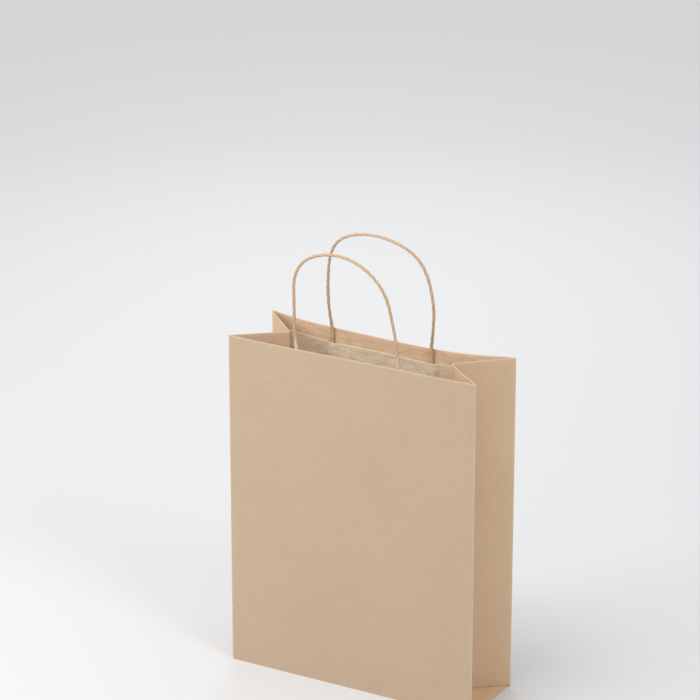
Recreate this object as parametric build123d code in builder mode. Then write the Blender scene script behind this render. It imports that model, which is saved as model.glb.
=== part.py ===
from build123d import *
import math
import os

# Twisted-handle kraft paper carrier bag, part opened.
# +X is to the right, +Y to the back, +Z up. The origin is the centre of the base, on the floor.
# All sizes are in millimetres.

os.makedirs("parts", exist_ok=True)

# ---- driving dimensions ------------------------------------------------------------------
width = 250.0          # crease to crease, across the front
height = 320.0         # floor to rim
depth = 76.0           # front crease to rear crease, as the bag stands
gusset_half = 57.5     # each side is two of these, so the bag is 115 deep when fully open
sheet = 0.25           # paper thickness
outer_gap = 0.95       # sheet edge to crease line, at the four corners
middle_gap = 0.45      # sheet edge to crease line, in the middle of each side

flap_length = 57.9     # each base flap, front to back
flap_side_gap = 1.5    # base flap to the crease line at each side
flap_lift = 0.45       # underside of the upper base flap
side_lift = 1.1        # the folding sides start above both base flaps

# The back bows in towards the front at the rim, and is flat at the floor.
bow_low = 40.0         # flat up to here
bow_high = 250.0       # full bow from here to the rim

cord_d = 2.6           # twisted paper cord
cord_gap = 0.1         # cord to sheet
hinge_rise = 1.6       # the cord starts to bend this far above the rim
lean = 9.0             # both loops lean this far towards the front, degrees

patch_top = height - 13.6
patch_height = 45.0
patch_width = 190.0
patch_centre = -10.0
patch_fit = 0.04       # patch to cord
ends_low = patch_top - 28.0

seam_width = 15.0
seam_inset = 3.5

# Control points of each loop in its own plane: across, then up from the hinge line.
front_route = [
    (-54.6, 0.0), (-55.6, 15.3), (-53.1, 41.3), (-50.8, 73.7), (-34.1, 93.5), (-3.9, 101.5),
    (24.3, 93.9), (42.6, 72.2), (46.1, 42.0), (48.7, 14.6), (47.8, 0.0),
]
back_route = [
    (-51.7, 0.0), (-53.5, 15.8), (-52.5, 42.9), (-46.2, 78.9), (-28.3, 96.6), (4.1, 102.9),
    (37.5, 96.3), (55.1, 79.0), (58.2, 42.6), (54.8, 15.9), (51.7, 0.0),
]

# ---- derived -----------------------------------------------------------------------------
half_w = width / 2
half_d = depth / 2
inset = math.sqrt(gusset_half**2 - half_d**2)
fold_x = half_w - inset                      # middle crease of each side
face = half_d - sheet / 2                    # inner face of front and back, as |y|
cord_r = cord_d / 2
cord_y = face - cord_gap - cord_r            # cord centre line, as |y|
hinge_z = height + hinge_rise
panel_w = width - 2 * outer_gap
print("middle crease inset", round(inset, 3), "closed-to-open angle from rest",
      round(90 - math.degrees(math.asin(half_d / gusset_half)), 2))



def bow(x, z):
    """How far the back's middle surface stands forward of y = half_d."""
    u = x / half_w
    rise = min(max((z - bow_low) / (bow_high - bow_low), 0), 1)
    rise = rise * rise * (3 - 2 * rise)
    return rise * (1 - u * u) * (15.8 + 4.8 * u + 8.28 * u * u - 16.4 * u**12)


def back_normal(x):
    """Unit normal of the back panel above bow_high, pointing into the bag, and its angle."""
    slope = -(bow(x + 0.01, height) - bow(x - 0.01, height)) / 0.02
    n = Vector(slope, -1, 0).normalized()
    return n, math.degrees(math.atan(slope))


def back_point(x, off):
    """A point off the back's middle surface by off, into the bag, above bow_high."""
    n, _ = back_normal(x)
    return Vector(x, half_d - bow(x, height), 0) + n * off


def strip_profile(x0, x1, off0, off1, z, count=25):
    """Closed outline between two offsets in y from the back's middle surface, for a sketch."""
    xs = [x0 + (x1 - x0) * i / (count - 1) for i in range(count)]
    near = [(x, half_d - bow(x, z) - off0) for x in xs]
    far = [(x, half_d - bow(x, z) - off1) for x in xs]
    Spline(*near)
    Line(near[-1], far[-1])
    Spline(*far)
    Line(far[0], near[0])


def bowed_sheet(x0, x1, off0, off1, z0, count=61):
    """A sheet that follows the back from z0 to the rim."""
    levels = [z0, bow_low] + [bow_low + (bow_high - bow_low) * i / 6 for i in range(1, 7)]
    with BuildPart() as out:
        for low, high in zip(levels, levels[1:]):
            for z in (low, high):
                with BuildSketch(Plane.XY.offset(z)):
                    with BuildLine():
                        strip_profile(x0, x1, off0, off1, z, count)
                    make_face()
            loft(ruled=True)
        with BuildSketch(Plane.XY.offset(bow_high)):
            with BuildLine():
                strip_profile(x0, x1, off0, off1, bow_high, count)
            make_face()
        extrude(amount=height - bow_high)
    return out


def save(part, label):
    part.label = label
    export_step(part, f"parts/{label}.step")


# ---- front and back panels ----------------------------------------------------------------
with BuildPart() as front_panel:
    with BuildSketch(Plane.XY) as s:
        with Locations((0, -half_d)):
            Rectangle(panel_w, sheet)
    extrude(amount=height)
save(front_panel.part, "front_panel")

back_panel = bowed_sheet(-panel_w / 2, panel_w / 2, -sheet / 2, sheet / 2, 0)
save(back_panel.part, "back_panel")


# ---- folding sides: two halves each, meeting at the middle crease --------------------------
def side_half(corner, fold):
    """One half of a side, from its corner crease to the middle crease."""
    dx, dy = fold[0] - corner[0], fold[1] - corner[1]
    run = math.hypot(dx, dy)
    ux, uy = dx / run, dy / run
    length = run - outer_gap - middle_gap
    mid = outer_gap + length / 2
    with BuildPart() as half:
        with BuildSketch(Plane.XY.offset(side_lift)):
            with Locations(Location((corner[0] + ux * mid, corner[1] + uy * mid, 0),
                                    (0, 0, math.degrees(math.atan2(dy, dx))))):
                Rectangle(length, sheet)
        extrude(amount=height - side_lift)
    return half


left_gusset_front = side_half((-half_w, -half_d), (-fold_x, 0))
save(left_gusset_front.part, "left_gusset_front")
left_gusset_rear = side_half((-half_w, half_d), (-fold_x, 0))
save(left_gusset_rear.part, "left_gusset_rear")
right_gusset_front = side_half((half_w, -half_d), (fold_x, 0))
save(right_gusset_front.part, "right_gusset_front")
right_gusset_rear = side_half((half_w, half_d), (fold_x, 0))
save(right_gusset_rear.part, "right_gusset_rear")

# ---- base flaps: the front one lies on the floor, the rear one just above it ----------------
flap_w = width - 2 * flap_side_gap
with BuildPart() as front_base_flap:
    with BuildSketch(Plane.XY):
        with Locations((0, -face + flap_length / 2)):
            Rectangle(flap_w, flap_length)
    extrude(amount=sheet)
    fillet(front_base_flap.edges().filter_by(Axis.Z).group_by(Axis.Y)[-1], 6)
save(front_base_flap.part, "front_base_flap")

with BuildPart() as rear_base_flap:
    with BuildSketch(Plane.XY.offset(flap_lift)):
        with Locations((0, face - flap_length / 2)):
            Rectangle(flap_w, flap_length)
    extrude(amount=sheet)
    fillet(rear_base_flap.edges().filter_by(Axis.Z).group_by(Axis.Y)[0], 6)
save(rear_base_flap.part, "rear_base_flap")

# ---- glue flap that closes the sheet into a tube, inside the back at its right edge ----------
seam_right = half_w - seam_inset
seam_flap = bowed_sheet(seam_right - seam_width, seam_right,
                        sheet / 2 + 0.06, sheet * 1.5 + 0.06, side_lift, 15)
save(seam_flap.part, "seam_flap")


# ---- handle patches: a flat sheet that steps over each glued cord end -----------------------
hump = cord_r + patch_fit + sheet
groove = cord_r + patch_fit
patch_low = patch_top - patch_height
front_legs = (front_route[0][0], front_route[-1][0])

# The back cord's ends stand on the bowed sheet, and its hinge line joins them.
leg_off = sheet / 2 + cord_gap + cord_r
back_legs = (-53.69, 49.55)
back_ends = [back_point(x, leg_off) for x in back_legs]
back_mid = (back_ends[0] + back_ends[1]) * 0.5
back_axis = (back_ends[1] - back_ends[0]).normalized()
print("back hinge line through", tuple(back_mid), "along", tuple(back_axis))

with BuildPart() as front_handle_patch:
    with BuildSketch(Plane.XY.offset(patch_low)):
        with Locations((patch_centre, -face + sheet / 2)):
            Rectangle(patch_width, sheet)
        for x in front_legs:
            with Locations((x, -cord_y)):
                Circle(hump)
            with Locations((x, -(cord_y + face) / 2)):
                Rectangle(2 * hump, face - cord_y)
        for x in front_legs:
            with Locations((x, -cord_y)):
                Circle(groove, mode=Mode.SUBTRACT)
            with Locations((x, -(cord_y + 3))):
                Rectangle(2 * groove, 6, mode=Mode.SUBTRACT)
        with Locations((patch_centre, -(face + 3))):
            Rectangle(patch_width + 20, 6, mode=Mode.SUBTRACT)
    extrude(amount=patch_height)
save(front_handle_patch.part, "front_handle_patch")

patch_x0, patch_x1 = patch_centre - patch_width / 2, patch_centre + patch_width / 2
with BuildPart() as back_handle_patch:
    with BuildSketch(Plane.XY.offset(patch_low)):
        with BuildLine():
            strip_profile(patch_x0, patch_x1, sheet / 2 + 0.03, sheet * 1.5 + 0.03, height, 41)
        make_face()
        for x in back_legs:
            n, angle = back_normal(x)
            c = back_point(x, leg_off)
            with Locations((c.X, c.Y)):
                Circle(hump)
            half = (leg_off - sheet / 2 - 0.03) / 2
            m = c - n * half
            with Locations(Location((m.X, m.Y, 0), (0, 0, angle))):
                Rectangle(2 * hump, 2 * half)
        for x in back_legs:
            n, angle = back_normal(x)
            c = back_point(x, leg_off)
            with Locations((c.X, c.Y)):
                Circle(groove, mode=Mode.SUBTRACT)
            m = c - n * 3
            with Locations(Location((m.X, m.Y, 0), (0, 0, angle))):
                Rectangle(2 * groove, 6, mode=Mode.SUBTRACT)
        with BuildLine():
            strip_profile(patch_x0 - 4, patch_x1 + 4, sheet / 2 + 0.03, -6, height, 41)
        make_face(mode=Mode.SUBTRACT)
    extrude(amount=patch_height)
save(back_handle_patch.part, "back_handle_patch")


# ---- glued ends of the cords, between patch and panel, up to the rim ------------------------
def handle_ends(places):
    with BuildPart() as ends:
        with BuildSketch(Plane.XY.offset(ends_low)):
            with Locations(*places):
                Circle(cord_r)
        extrude(amount=hinge_z - cord_r - 0.1 - ends_low)
    return ends


front_handle_ends = handle_ends([(x, -cord_y) for x in front_legs])
save(front_handle_ends.part, "front_handle_ends")
back_handle_ends = handle_ends([(c.X, c.Y) for c in back_ends])
save(back_handle_ends.part, "back_handle_ends")


# ---- cord loops ----------------------------------------------------------------------------
def corner_radii(points):
    out = []
    for a, b, c in zip(points, points[1:], points[2:]):
        v1 = Vector(b[0] - a[0], b[1] - a[1])
        v2 = Vector(c[0] - b[0], c[1] - b[1])
        turn = math.radians(v1.get_angle(v2))
        out.append(0.45 * min(v1.length, v2.length) / math.tan(turn / 2))
    return out


def cord_loop(origin, across, route, label):
    radii = corner_radii(route)
    s, c = math.sin(math.radians(lean)), math.cos(math.radians(lean))
    up = Vector(0, 0, c) + across.cross(Vector(0, 0, 1)) * s
    plane = Plane(origin=origin, x_dir=across, z_dir=across.cross(up))
    with BuildPart() as loop:
        with BuildLine(plane) as path:
            FilletPolyline(*route, radius=radii)
        wire = path.wires()[0]
        with BuildSketch(Plane(origin=wire @ 0, z_dir=wire % 0)):
            Circle(cord_r)
        sweep(path=wire)
        with Locations(wire @ 0, wire @ 1):
            Sphere(cord_r)
    print(label, "length", round(wire.length, 1), "radii", [round(r, 1) for r in radii],
          "volume over section x length",
          round(loop.part.volume / (math.pi * cord_r**2 * wire.length), 4))
    return loop


front_handle = cord_loop((0, -cord_y, hinge_z), Vector(1, 0, 0), front_route, "front_handle")
save(front_handle.part, "front_handle")
back_handle = cord_loop((back_mid.X, back_mid.Y, hinge_z), back_axis, back_route,
                        "back_handle")
save(back_handle.part, "back_handle")
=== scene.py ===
import bpy
import math
import numpy as np
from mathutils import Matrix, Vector


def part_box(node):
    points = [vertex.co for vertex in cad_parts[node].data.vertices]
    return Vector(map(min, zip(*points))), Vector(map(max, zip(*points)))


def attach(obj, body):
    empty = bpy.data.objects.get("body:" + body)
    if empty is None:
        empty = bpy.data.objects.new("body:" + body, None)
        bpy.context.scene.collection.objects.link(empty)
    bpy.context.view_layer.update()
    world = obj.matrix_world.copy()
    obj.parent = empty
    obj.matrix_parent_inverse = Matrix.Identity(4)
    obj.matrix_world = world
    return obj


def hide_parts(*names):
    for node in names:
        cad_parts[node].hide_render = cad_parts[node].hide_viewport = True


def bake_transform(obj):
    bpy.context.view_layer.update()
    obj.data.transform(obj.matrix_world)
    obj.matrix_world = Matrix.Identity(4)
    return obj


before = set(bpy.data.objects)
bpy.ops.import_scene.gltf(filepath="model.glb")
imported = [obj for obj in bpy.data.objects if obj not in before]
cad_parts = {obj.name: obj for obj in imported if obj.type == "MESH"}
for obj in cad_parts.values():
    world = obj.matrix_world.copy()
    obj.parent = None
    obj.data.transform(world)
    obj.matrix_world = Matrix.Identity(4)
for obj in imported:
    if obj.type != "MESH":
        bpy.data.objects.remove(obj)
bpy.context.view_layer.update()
MM = 0.001

# ---------------------------------------------------------------- sizes, as in the CAD model
W, H, D, GH = 250.0, 320.0, 76.0, 57.5
HW, HD = W / 2, D / 2
FOLD_X = HW - math.sqrt(GH**2 - HD**2)
PAPER = 0.25
CORD_D = 2.6
HINGE_Z = 321.6
PATCH_TOP, PATCH_H, PATCH_W, PATCH_C = 306.4, 45.0, 190.0, -10.0
ENDS_LOW = PATCH_TOP - 28.0
LEAN = math.radians(9.0)
OFF = PAPER / 2 + 0.1 + CORD_D / 2
BACK_AX = Vector((0.99940396, -0.03452133, 0.0))
BACK_MID = Vector((-2.10482, 22.24559, HINGE_Z))

scene = bpy.context.scene


def smooth(t):
    t = np.clip(t, 0, 1)
    return t * t * (3 - 2 * t)


def back_bow(x, z):
    u = np.clip(x / HW, -1, 1)
    return smooth((z - 40.0) / 210.0) * (1 - u * u) * (15.8 + 4.8 * u + 8.28 * u * u - 16.4 * u**12)


def front_bow(x, z):
    u = np.clip(x / HW, -1, 1)
    return smooth((z - 60.0) / 240.0) * 1.5 * (1 - u * u) * (1 + 0.6 * u)


def ripple(x, z, seed):
    """Slow waviness of handled paper, in mm, zero along the creases."""
    u = np.clip(x / HW, -1, 1)
    a = 0.20 * np.sin(x / 37.0 + seed) * np.sin(z / 61.0 + 1.7 * seed)
    b = 0.12 * np.sin(x / 17.0 - z / 43.0 + 2.3 * seed)
    c = 0.10 * np.sin(z / 23.0 + x / 71.0 + 0.7 * seed)
    return (a + b + c) * (1 - u**8) * smooth(z / 25.0)


def back_y(x, z):
    return HD - back_bow(x, z) + ripple(x, z, 1.3)


def front_y(x, z):
    return -HD - front_bow(x, z) + ripple(x, z, 4.1)


# ---------------------------------------------------------------- camera
AZ, EL, DIST = math.radians(29.726), math.radians(20.449), 3.0
target = Vector((-0.021693, 0.0, 0.312403))
away = Vector((math.sin(AZ) * math.cos(EL), -math.cos(AZ) * math.cos(EL), math.sin(EL)))
cam_data = bpy.data.cameras.new("camera")
cam_data.sensor_width = 36.0
cam_data.lens = 36.0 * 3366.6 / 700.0
cam_data.clip_end = 60.0
cam = bpy.data.objects.new("camera", cam_data)
cam.location = target + away * DIST
cam.rotation_euler = away.to_track_quat("Z", "Y").to_euler()
scene.collection.objects.link(cam)
scene.camera = cam


# ---------------------------------------------------------------- materials
def nodes_of(name):
    mat = bpy.data.materials.new(name)
    mat.use_nodes = True
    nt = mat.node_tree
    for n in list(nt.nodes):
        nt.nodes.remove(n)
    out = nt.nodes.new("ShaderNodeOutputMaterial")
    bsdf = nt.nodes.new("ShaderNodeBsdfPrincipled")
    nt.links.new(bsdf.outputs[0], out.inputs[0])
    return mat, nt, bsdf


def add(nt, kind, **vals):
    n = nt.nodes.new(kind)
    for k, v in vals.items():
        if k.startswith("in_"):
            n.inputs[k[3:].replace("_", " ")].default_value = v
        else:
            setattr(n, k, v)
    return n


def noise(nt, vec, scale, detail=3.0, rough=0.55, stretch=(1, 1, 1), shift=(0, 0, 0)):
    m = add(nt, "ShaderNodeMapping")
    m.inputs["Scale"].default_value = stretch
    m.inputs["Location"].default_value = shift
    nt.links.new(vec, m.inputs["Vector"])
    n = add(nt, "ShaderNodeTexNoise", in_Scale=scale, in_Detail=detail, in_Roughness=rough)
    nt.links.new(m.outputs[0], n.inputs["Vector"])
    return n.outputs["Fac"]


def span(nt, fac, lo, hi, a=0.0, b=1.0):
    r = add(nt, "ShaderNodeMapRange")
    r.inputs["From Min"].default_value = lo
    r.inputs["From Max"].default_value = hi
    r.inputs["To Min"].default_value = a
    r.inputs["To Max"].default_value = b
    nt.links.new(fac, r.inputs["Value"])
    return r.outputs[0]


def mixc(nt, fac, a, b, mode="MIX"):
    m = add(nt, "ShaderNodeMix", data_type="RGBA", blend_type=mode)
    for sock, v in ((m.inputs[0], fac), (m.inputs[6], a), (m.inputs[7], b)):
        if isinstance(v, bpy.types.NodeSocket):
            nt.links.new(v, sock)
        else:
            sock.default_value = v if not isinstance(v, tuple) else (*v, 1.0)
    return m.outputs[2]


def math_node(nt, op, a, b=0.0):
    m = add(nt, "ShaderNodeMath", operation=op)
    for sock, v in ((m.inputs[0], a), (m.inputs[1], b)):
        if isinstance(v, bpy.types.NodeSocket):
            nt.links.new(v, sock)
        else:
            sock.default_value = v
    return m.outputs[0]


def kraft(name, base, dark, light, coord="UV", mottle=0.0, fleck=0.5, grain=1.0, edges=True, calm=1.0):
    """Uncoated kraft paper. One coordinate unit is 100 mm."""
    mat, nt, bsdf = nodes_of(name)
    tc = add(nt, "ShaderNodeTexCoord")
    if coord == "UV":
        vec = tc.outputs["UV"]
    else:
        m = add(nt, "ShaderNodeMapping")
        m.inputs["Scale"].default_value = (10, 10, 10)
        nt.links.new(tc.outputs["Object"], m.inputs["Vector"])
        vec = m.outputs[0]
    cloud = noise(nt, vec, 1.3, 4.0, 0.6)
    pulp = noise(nt, vec, 14.0, 5.0, 0.65, shift=(3, 1, 2))
    streak = noise(nt, vec, 9.0, 4.0, 0.6, stretch=(1.0, 11.0, 11.0), shift=(7, 3, 1))
    fibre_a = noise(nt, vec, 60.0, 3.0, 0.6, stretch=(1.0, 4.5, 4.5), shift=(1, 9, 4))
    fibre_b = noise(nt, vec, 60.0, 3.0, 0.6, stretch=(4.5, 1.0, 1.0), shift=(5, 2, 8))
    col = mixc(nt, span(nt, cloud, 0.32, 0.68), base, tuple((1 - 0.22 * calm) * b + 0.22 * calm * l for b, l in zip(base, light)))
    col = mixc(nt, span(nt, pulp, 0.40, 0.80, 0.0, 0.24 * calm), col, dark)
    col = mixc(nt, span(nt, streak, 0.45, 0.75, 0.0, 0.20 * calm), col, light)
    col = mixc(nt, span(nt, fibre_a, 0.60, 0.78, 0.0, fleck), col, light)
    col = mixc(nt, span(nt, fibre_b, 0.62, 0.80, 0.0, fleck * 0.8), col, dark)
    if mottle:
        blot = noise(nt, vec, 6.0, 5.0, 0.7, stretch=(1.0, 3.2, 1.0), shift=(2, 6, 3))
        blot2 = noise(nt, vec, 9.0, 4.0, 0.7, stretch=(1.0, 4.0, 1.0), shift=(8, 1, 5))
        col = mixc(nt, span(nt, blot, 0.42, 0.66, 0.0, mottle), col, tuple(0.60 * b for b in base))
        col = mixc(nt, span(nt, blot2, 0.48, 0.66, 0.0, mottle * 0.9), col, tuple(min(1.0, 1.30 * b) for b in base))
    if edges:
        # Lighter along the wear_and_highlight attribute: real rubbing on the creases, and painted highlight on cut
        # edges, cord twist crests and the lit cord ends.
        at = add(nt, "ShaderNodeAttribute", attribute_name="wear_and_highlight")
        wear_and_highlight_fac = math_node(nt, "MULTIPLY", at.outputs["Fac"], span(nt, pulp, 0.30, 0.60, 0.55, 1.0))
        col = mixc(nt, wear_and_highlight_fac, col, tuple(min(1.0, 1.18 * l) for l in light))
        # Painted shade: darker in the recesses between the cord's twists.
        ag = add(nt, "ShaderNodeAttribute", attribute_name="painted_groove_shade")
        col = mixc(nt, ag.outputs["Fac"], col, tuple(0.55 * d for d in dark))
    nt.links.new(col, bsdf.inputs["Base Color"])
    nt.links.new(span(nt, pulp, 0.3, 0.7, 0.70, 0.86), bsdf.inputs["Roughness"])
    bsdf.inputs["Specular IOR Level"].default_value = 0.22
    h = math_node(nt, "ADD", math_node(nt, "MULTIPLY", fibre_a, 0.6), math_node(nt, "MULTIPLY", fibre_b, 0.5))
    h = math_node(nt, "ADD", h, math_node(nt, "MULTIPLY", pulp, 0.9))
    bump = add(nt, "ShaderNodeBump")
    bump.inputs["Strength"].default_value = 0.22 * grain
    bump.inputs["Distance"].default_value = 0.00025
    nt.links.new(h, bump.inputs["Height"])
    nt.links.new(bump.outputs[0], bsdf.inputs["Normal"])
    return mat


BASE, DARK, LIGHT = (0.541, 0.402, 0.278), (0.431, 0.302, 0.194), (0.623, 0.491, 0.360)
KRAFT = kraft("kraft_outside", BASE, DARK, LIGHT)
# Sides: the outside kraft painted lighter, standing in for the light the gussets get from the right.
SIDE = kraft("kraft_side", (0.618, 0.445, 0.295), (0.492, 0.335, 0.210), (0.705, 0.538, 0.382))
BACK = kraft("kraft_back", (0.585, 0.425, 0.290), (0.465, 0.320, 0.203), (0.672, 0.520, 0.375))
# Inside faces: the same kraft painted lighter, making up for the shade inside the bag.
INSIDE = kraft("kraft_inside", (0.725, 0.518, 0.345), (0.525, 0.340, 0.205), (0.825, 0.645, 0.465), mottle=0.36, fleck=0.8, calm=2.2)
PATCH = kraft("kraft_patch", (0.745, 0.615, 0.455), (0.545, 0.430, 0.305), (0.880, 0.765, 0.610), mottle=0.55, fleck=0.6, grain=1.4, calm=1.5)
CORD = kraft("kraft_cord", (0.575, 0.396, 0.244), (0.295, 0.176, 0.092), (0.800, 0.618, 0.428), fleck=0.6, grain=1.2, calm=1.4)


# ---------------------------------------------------------------- mesh helpers
def build(name, verts, faces, mat, uv=None, wear_and_highlight=None, painted_groove_shade=None, flat=False, mats=None):
    me = bpy.data.meshes.new(name)
    me.from_pydata([tuple(v) for v in verts], [], faces)
    me.materials.append(mat)
    if mats is not None:
        me.materials.append(mats[0])
        me.polygons.foreach_set("material_index", np.asarray(mats[1], np.int32))
    if uv is not None:
        layer = me.uv_layers.new(name="flat")
        idx = np.zeros(len(me.loops), int)
        me.loops.foreach_get("vertex_index", idx)
        layer.data.foreach_set("uv", np.asarray(uv, float)[idx].ravel())
    for nm, vals in (("wear_and_highlight", wear_and_highlight), ("painted_groove_shade", painted_groove_shade)):
        if vals is None:
            vals = np.zeros(len(verts))
        at = me.attributes.new(nm, "FLOAT", "POINT")
        at.data.foreach_set("value", np.asarray(vals, np.float32))
    me.validate()
    me.update()
    me.shade_smooth() if not flat else me.shade_flat()
    ob = bpy.data.objects.new(name, me)
    scene.collection.objects.link(ob)
    return ob


def paper(name, P, mat, wear_and_highlight=None, thick=PAPER, uv0=(0, 0), inside=None, inside_first=False):
    """A closed thin sheet on a grid of mid-surface points P[i, j], in mm."""
    nu, nv = P.shape[:2]
    du = np.gradient(P, axis=0)
    dv = np.gradient(P, axis=1)
    n = np.cross(du, dv)
    n /= np.linalg.norm(n, axis=2, keepdims=True)
    # distances along the sheet, for the flat coordinates
    su = np.concatenate([np.zeros((1, nv)), np.cumsum(np.linalg.norm(np.diff(P, axis=0), axis=2), 0)], 0)
    sv = np.concatenate([np.zeros((nu, 1)), np.cumsum(np.linalg.norm(np.diff(P, axis=1), axis=2), 1)], 1)
    flat = np.stack([su / 100.0 + uv0[0], sv / 100.0 + uv0[1]], 2).reshape(-1, 2)
    a = (P + n * thick / 2).reshape(-1, 3) * MM
    b = (P - n * thick / 2).reshape(-1, 3) * MM
    verts = np.concatenate([a, b])
    N = nu * nv
    k = np.arange(N).reshape(nu, nv)
    faces = []
    for i in range(nu - 1):
        for j in range(nv - 1):
            q = (k[i, j], k[i + 1, j], k[i + 1, j + 1], k[i, j + 1])
            faces.append(tuple(int(v) for v in q))
            faces.append(tuple(int(v + N) for v in reversed(q)))
    ring = list(k[:, 0]) + list(k[-1, 1:]) + list(k[-2::-1, -1]) + list(k[0, -2:0:-1])
    for p, q in zip(ring, ring[1:] + ring[:1]):
        faces.append((int(q), int(p), int(p + N), int(q + N)))
    w = np.zeros((nu, nv)) if wear_and_highlight is None else wear_and_highlight
    mats = None
    if inside is not None:
        count = 2 * (nu - 1) * (nv - 1)
        index = np.zeros(len(faces), int)
        index[(0 if inside_first else 1):count:2] = 1
        mats = (inside, index)
    ob = build(name, verts, faces, mat, np.concatenate([flat, flat]), np.concatenate([w.ravel(), w.ravel()]), mats=mats)
    # Sharp rim: the cut edge keeps its own shading.
    me = ob.data
    sharp = me.attributes.new("sharp_edge", "BOOLEAN", "EDGE")
    on_rim = np.zeros(2 * N, bool)
    on_rim[np.array(ring)] = True
    on_rim[np.array(ring) + N] = True
    ev = np.zeros(2 * len(me.edges), int)
    me.edges.foreach_get("vertices", ev)
    ev = ev.reshape(-1, 2)
    same = (ev[:, 0] < N) == (ev[:, 1] < N)
    pos = {int(v): t for t, v in enumerate(ring)}
    L = len(ring)
    flags = []
    for (p, q), s in zip(ev, same):
        pp, qq = int(p) % N, int(q) % N
        flags.append(bool(s and pp in pos and qq in pos and (pos[pp] - pos[qq]) % L in (1, L - 1)))
    sharp.data.foreach_set("value", flags)
    return ob


def steps(lo, hi, pitch, fine_lo=True, fine_hi=True):
    """Even steps with a few close ones at either end."""
    core = list(np.linspace(lo, hi, max(2, int(round((hi - lo) / pitch)) + 1)))
    extra = []
    for d in (0.35, 0.9, 1.8):
        if fine_lo:
            extra.append(lo + d)
        if fine_hi:
            extra.append(hi - d)
    out = sorted(set(round(float(v), 4) for v in core + extra))
    keep = [out[0]]
    for v in out[1:]:
        if v - keep[-1] > 0.25:
            keep.append(v)
    return np.array(keep)


def near(d, reach):
    return np.exp(-(np.maximum(d, 0) / reach) ** 2)


# ---------------------------------------------------------------- front and back
def panel(name, yf, mat, body, node, seed):
    xs = steps(-HW, HW, 2.5)
    zs = steps(0.0, H, 3.2)
    X, Z = np.meshgrid(xs, zs, indexing="ij")
    rim_wave = 0.25 * np.sin(X / 29.0 + seed) * (1 - (X / HW) ** 8) * smooth((Z - 250) / 70)
    P = np.stack([X, yf(X, Z), Z + rim_wave], 2)
    # Painted highlight along the cut rim; a lighter line along the side creases from rubbing.
    wear_and_highlight = 0.85 * near(H - Z, 0.9)
    side = np.minimum(X + HW, HW - X)
    wear_and_highlight = np.maximum(wear_and_highlight, 0.28 * near(side, 0.9))
    ob = paper(name, P, mat, wear_and_highlight, uv0=(seed, 2 * seed), inside=INSIDE, inside_first=yf is not front_y)
    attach(ob, body)
    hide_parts(node)
    return ob


front = panel("front_sheet", front_y, KRAFT, "front", "front_panel", 1.0)
back = panel("back_sheet", back_y, BACK, "back", "back_panel", 3.0)


# ---------------------------------------------------------------- folding sides
def side_sheet(name, sgn, nodes, seed):
    """Both halves of a side as one folded sheet, from the front crease to the rear crease."""
    A = np.array([sgn * HW, -HD])
    B = np.array([sgn * HW, HD])
    zs = steps(1.1, H, 3.2)
    ts = np.concatenate([np.linspace(0, 0.86, 20), np.linspace(0.875, 0.985, 7), [1.0]])
    P = []
    for z in zs:
        mx = FOLD_X - 1.2 * math.sin(z / 90.0 + seed) * 0.4
        my = -3.2 * float(smooth((z - 225.0) / 90.0)) + 0.2 * math.sin(z / 47.0 + seed)
        M = np.array([sgn * mx, my])
        row = []
        for (p, q, rev) in ((A, M, False), (B, M, True)):
            d = q - p
            nrm = np.array([-d[1], d[0]]) / np.linalg.norm(d)
            bulge = 0.9 * math.sin(z / 75.0 + seed) + 0.7
            if rev:
                bulge *= -1
            half = [p + d * t + nrm * sgn * bulge * math.sin(math.pi * t) ** 1.3 * 0.9 for t in ts]
            row.append(half if not rev else half[::-1])
        line = np.array(row[0] + row[1][1:])
        # round the middle crease a little
        m = len(ts) - 1
        line[m] = 0.5 * line[m] + 0.25 * (line[m - 1] + line[m + 1])
        P.append(np.column_stack([line, np.full(len(line), z)]))
    P = np.array(P).transpose(1, 0, 2)
    if sgn > 0:
        P = P[::-1]
    nu, nv = P.shape[:2]
    cum = np.concatenate([[0], np.cumsum(np.linalg.norm(np.diff(P[:, 0], axis=0), axis=1))])
    S = cum[:, None] * np.ones((1, nv))
    Z = P[:, :, 2]
    mid = cum[len(ts) - 1]
    # Painted highlight along the cut rim; lighter lines along the three creases from rubbing.
    wear_and_highlight = np.maximum(0.90 * near(H - Z, 0.9), 0.25 * near(np.minimum(S, cum[-1] - S), 0.9))
    wear_and_highlight = np.maximum(wear_and_highlight, 0.20 * near(np.abs(S - mid), 1.2))
    ob = paper(name, P, SIDE, wear_and_highlight, uv0=(5 * seed, seed), inside=INSIDE, inside_first=True)
    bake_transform(ob)
    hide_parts(*nodes)
    return ob


left = side_sheet("left_side_sheet", -1,
                  ("left_gusset_front", "left_gusset_rear"), 0.6)
right = side_sheet("right_side_sheet", 1,
                   ("right_gusset_front", "right_gusset_rear"), 2.1)


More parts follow.
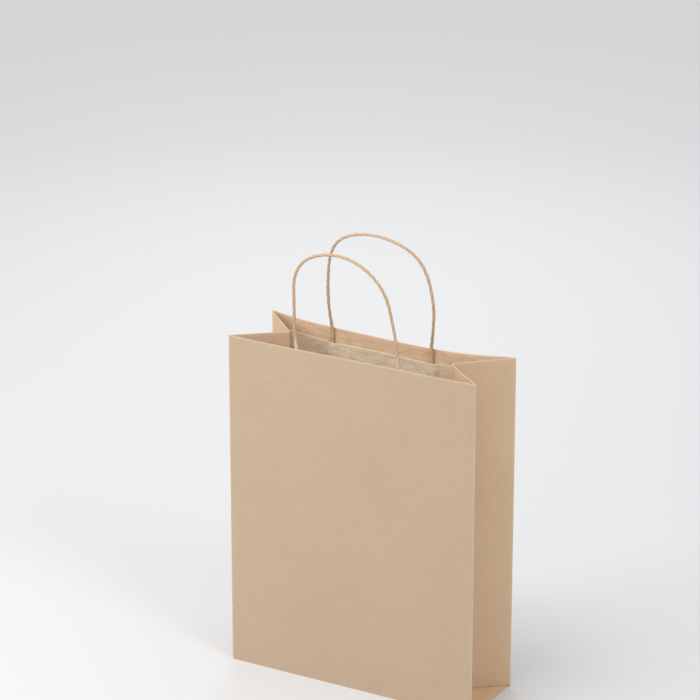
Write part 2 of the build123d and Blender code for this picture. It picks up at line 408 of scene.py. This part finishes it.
# ---------------------------------------------------------------- handle patches
def patch(name, side, legs, body, node, seed):
    yf = front_y if side < 0 else back_y
    inward = 1.0 if side < 0 else -1.0
    xs = list(steps(PATCH_C - PATCH_W / 2, PATCH_C + PATCH_W / 2, 3.0))
    for x in legs:
        xs += list(np.linspace(x - 9, x + 9, 31))
    xs = np.array(sorted(set(round(float(v), 3) for v in xs)))
    zs = steps(PATCH_TOP - PATCH_H, PATCH_TOP, 3.0)
    X, Z = np.meshgrid(xs, zs, indexing="ij")
    lift = np.zeros_like(X)
    for x in legs:
        d = np.abs(X - x)
        # Over the cord it is full height, then the paper falls back to the sheet.
        tall = (CORD_D * 0.72 + 0.35) * smooth((Z - (ENDS_LOW - 6)) / 6.0)
        lift = np.maximum(lift, tall * smooth((8.6 - d) / 6.4))
    wrinkle = 0.16 * np.sin(X / 5.3 + Z / 7.0 + seed) * np.sin(Z / 4.1 - X / 11.0) + 0.10 * np.sin(X / 2.9 - Z / 9.0)
    Y = yf(X, Z) + inward * (PAPER + 0.12 + lift + 0.5 * np.abs(wrinkle))
    edge = 0.3 * np.sin(X / 13.0 + seed)
    P = np.stack([X, Y, Z + edge * smooth((Z - (PATCH_TOP - 8)) / 8.0)], 2)
    dz = np.minimum(PATCH_TOP - Z, Z - (PATCH_TOP - PATCH_H))
    # Painted highlight along the patch's cut top and bottom edges.
    wear_and_highlight = 0.9 * near(dz, 0.8)
    ob = paper(name, P, PATCH, wear_and_highlight, thick=0.2, uv0=(seed, 7.0))
    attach(ob, body)
    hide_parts(node)
    return ob


FRONT_LEGS, BACK_LEGS = (-54.6, 47.8), (-53.75, 49.49)
front_patch = patch("front_patch_sheet", -1, FRONT_LEGS, "front", "front_handle_patch", 0.4)
back_patch = patch("back_patch_sheet", 1, BACK_LEGS, "back", "back_handle_patch", 1.9)

# ---------------------------------------------------------------- twisted paper cords
FRONT_ROUTE = [(-54.6, 0.0), (-55.6, 15.3), (-53.1, 41.3), (-50.8, 73.7), (-34.1, 93.5), (-3.9, 101.5),
               (23.5, 92.5), (41.6, 71.4), (46.2, 41.8), (48.7, 14.6), (47.8, 0.0)]
BACK_ROUTE = [(-51.7, 0.0), (-53.5, 15.8), (-52.5, 42.9), (-46.2, 78.9), (-28.3, 96.6), (4.1, 102.9),
              (36.6, 95.0), (53.0, 77.8), (58.4, 43.0), (54.8, 15.9), (51.7, 0.0)]


def cord(name, mid, across, route, nodes, seed, pale):
    up = Vector((0, 0, math.cos(LEAN))) + across.cross(Vector((0, 0, 1))) * math.sin(LEAN)
    loop = [mid + across * u + up * s for u, s in route]
    low = [Vector((loop[0].x, loop[0].y, z)) for z in (ENDS_LOW, 289.0, 305.5)]
    tail = [Vector((loop[-1].x, loop[-1].y, z)) for z in (305.5, 289.0, ENDS_LOW)]
    pts = [p * MM for p in low + loop + tail]
    cu = bpy.data.curves.new(name + "_line", "CURVE")
    cu.dimensions = "3D"
    sp = cu.splines.new("NURBS")
    sp.points.add(len(pts) - 1)
    for p, q in zip(sp.points, pts):
        p.co = (*q, 1.0)
    sp.order_u = 3
    sp.use_endpoint_u = True
    sp.resolution_u = 16
    tmp = bpy.data.objects.new(name + "_line", cu)
    scene.collection.objects.link(tmp)
    bpy.context.view_layer.update()
    me = bpy.data.meshes.new_from_object(tmp)
    line = np.array([v.co for v in me.vertices], float)
    bpy.data.objects.remove(tmp)
    bpy.data.meshes.remove(me)
    bpy.data.curves.remove(cu)
    seg = np.linalg.norm(np.diff(line, axis=0), axis=1)
    s = np.concatenate([[0], np.cumsum(seg)])
    total = s[-1]
    count = int(total / 0.00045)
    at = np.linspace(0, total, count)
    c = np.column_stack([np.interp(at, s, line[:, i]) for i in range(3)])
    t = np.gradient(c, axis=0)
    t /= np.linalg.norm(t, axis=1, keepdims=True)
    # a frame that doesn't spin: the loop's plane normal, kept square to the line
    n0 = np.array(across.cross(up))
    e1 = n0[None] - t * (t @ n0)[:, None]
    e1 /= np.linalg.norm(e1, axis=1, keepdims=True)
    e2 = np.cross(t, e1)
    ring = 30
    ph = np.linspace(0, 2 * math.pi, ring, endpoint=False)
    R = CORD_D / 2 * MM
    pitch = 0.0235
    rough = 1 + 0.035 * np.sin(at / 0.0061 + seed) + 0.025 * np.sin(at / 0.0023 + 2 * seed)
    # flatter where it is glued down, with the twist opened a little
    z = c[:, 2] / MM
    flat = smooth((338.0 - z) / 30.0)
    tw = 2 * math.pi * at / pitch + 0.5 * np.sin(at / 0.017 + seed) - flat * 0.9
    lobe = np.abs(np.cos(1.5 * (ph[None] - tw[:, None])))
    depth = 0.14 + 0.02 * flat
    rad = R * rough[:, None] * (1.07 - depth[:, None] * (1 - lobe**0.55))
    # Painted shade in the twist grooves, weaker on the flattened ends of the front cord, which are painted as lit.
    g = np.clip((1 - lobe**0.5) * 1.25 - 0.28, 0, 1) * (0.62 - 0.9 * pale * flat[:, None])
    cx = np.cos(ph)[None] * rad * (1 - 0.28 * flat)[:, None]
    cy = np.sin(ph)[None] * rad * (1 + 0.40 * flat)[:, None]
    V = c[:, None] + e1[:, None] * cx[:, :, None] + e2[:, None] * cy[:, :, None]
    verts = V.reshape(-1, 3)
    faces = []
    for i in range(count - 1):
        for j in range(ring):
            a, b = i * ring + j, i * ring + (j + 1) % ring
            faces.append((a, b, b + ring, a + ring))
    faces.append(tuple(range(ring - 1, -1, -1)))
    faces.append(tuple((count - 1) * ring + j for j in range(ring)))
    uv = np.stack([np.repeat(at, ring) / 0.1, np.tile(ph * R / 0.1, count) + seed], 1)
    # Painted highlight on the twist crests, and painted light on the front cord's flattened ends above 300 mm.
    wear_and_highlight = np.clip(lobe - 0.86, 0, 1) * 1.6 + pale * (flat * (z > 300))[:, None]
    ob = build(name, verts, faces, CORD, uv, wear_and_highlight.ravel(), g.ravel())
    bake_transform(ob)
    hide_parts(*nodes)
    print(name, "length", round(float(total), 4))
    return ob


front_cord = cord("front_cord", Vector((0, -HD + OFF - 1.2, HINGE_Z)), Vector((1, 0, 0)), FRONT_ROUTE,
                  ("front_handle", "front_handle_ends"), 0.3, 0.65)
back_cord = cord("back_cord", BACK_MID, BACK_AX, BACK_ROUTE,
                 ("back_handle", "back_handle_ends"), 1.1, 0.0)

# ---------------------------------------------------------------- glue flap and base flaps
lo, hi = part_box("seam_flap")
xs = steps(lo[0] / MM, hi[0] / MM, 2.5)
zs = steps(lo[2] / MM, hi[2] / MM - 0.4, 3.2)
X, Z = np.meshgrid(xs, zs, indexing="ij")
# Painted highlight along the seam flap's cut edge.
glued = paper("seam_sheet", np.stack([X, back_y(X, Z) - PAPER - 0.06, Z], 2), BACK,
              0.5 * near(X - xs[0], 0.9), uv0=(4.0, 2.0), inside=INSIDE, inside_first=True)
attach(glued, "back")
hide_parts("seam_flap")


def base(name, node, body, sgn, seed):
    """One glued-over bottom flap, with rounded free corners."""
    lo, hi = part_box(node)
    y0, y1 = lo[1] / MM, hi[1] / MM
    hw, mid_z = (hi[0] - lo[0]) / 2 / MM, (lo[2] + hi[2]) / 2 / MM
    v = np.concatenate([np.linspace(0, 1 - 6.5 / (y1 - y0), 22), 1 - np.linspace(6.0, 0.0, 13) / (y1 - y0)])
    d = (1 - v) * (y1 - y0)
    inset = np.where(d < 6, 6 - np.sqrt(np.maximum(0, 36 - (6 - d) ** 2)), 0.0)
    u = np.linspace(-1, 1, 101)
    X = u[:, None] * (hw - inset)[None]
    Y = (y0 + (y1 - y0) * v if sgn > 0 else y1 - (y1 - y0) * v)[None] + 0 * X
    Zb = mid_z + 0.06 * np.sin(X / 23.0 + seed) * np.sin(Y / 17.0 + seed) ** 2
    # Painted highlight along the flap's cut free edge.
    ob = paper(name, np.stack([X, Y, Zb], 2), KRAFT, 0.6 * near(d[None] + 0 * X, 0.9), uv0=(seed, 9.0), inside=INSIDE,
               inside_first=sgn > 0)
    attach(ob, body)
    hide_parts(node)


base("front_base_sheet", "front_base_flap", "front", 1, 0.5)
base("rear_base_sheet", "rear_base_flap", "back", -1, 2.2)

# ---------------------------------------------------------------- floor and light
me = bpy.data.meshes.new("floor")
R = 30.0
me.from_pydata([(-R, -R, 0), (R, -R, 0), (R, R, 0), (-R, R, 0)], [], [(0, 1, 2, 3)])
floor = bpy.data.objects.new("floor", me)
scene.collection.objects.link(floor)
fm, nt, bsdf = nodes_of("floor_pale")
tc = add(nt, "ShaderNodeTexCoord")
ln = add(nt, "ShaderNodeVectorMath", operation="LENGTH")
nt.links.new(tc.outputs["Object"], ln.inputs[0])
# Painted shade: the floor is darker within 1.7 m of the bag, paling out by 3.6 m.
nt.links.new(mixc(nt, span(nt, ln.outputs["Value"], 1.7, 3.6), (0.700, 0.706, 0.715), (0.970, 0.970, 0.970)),
             bsdf.inputs["Base Color"])
bsdf.inputs["Roughness"].default_value = 0.9
bsdf.inputs["Specular IOR Level"].default_value = 0.1
me.materials.append(fm)

world = bpy.data.worlds.new("soft")
world.use_nodes = True
world.node_tree.nodes["Background"].inputs["Color"].default_value = (1.0, 1.0, 1.0, 1)
world.node_tree.nodes["Background"].inputs["Strength"].default_value = 0.68
scene.world = world


def area(name, loc, at, size, power, color=(1, 1, 1)):
    ld = bpy.data.lights.new(name, "AREA")
    ld.shape = "DISK"
    ld.size = size
    ld.energy = power
    ld.color = color
    ob = bpy.data.objects.new(name, ld)
    ob.location = loc
    ob.rotation_euler = (Vector(loc) - Vector(at)).to_track_quat("Z", "Y").to_euler()
    scene.collection.objects.link(ob)


area("key", (-0.78, -0.72, 0.78), (-0.12, 0, 0.30), 0.40, 3.7)
area("fill", (2.2, -0.90, 1.75), (0, 0, 0.30), 1.0, 16)
area("top", (-0.2, -0.6, 1.9), (0, 0, 0.3), 0.9, 12)
area("wash", (-0.62, 1.05, 1.10), (-0.62, 1.05, 0.0), 0.6, 4.2)

scene.view_settings.view_transform = "Standard"
scene.view_settings.look = "None"
scene.view_settings.exposure = 0.0
scene.view_settings.gamma = 1.0
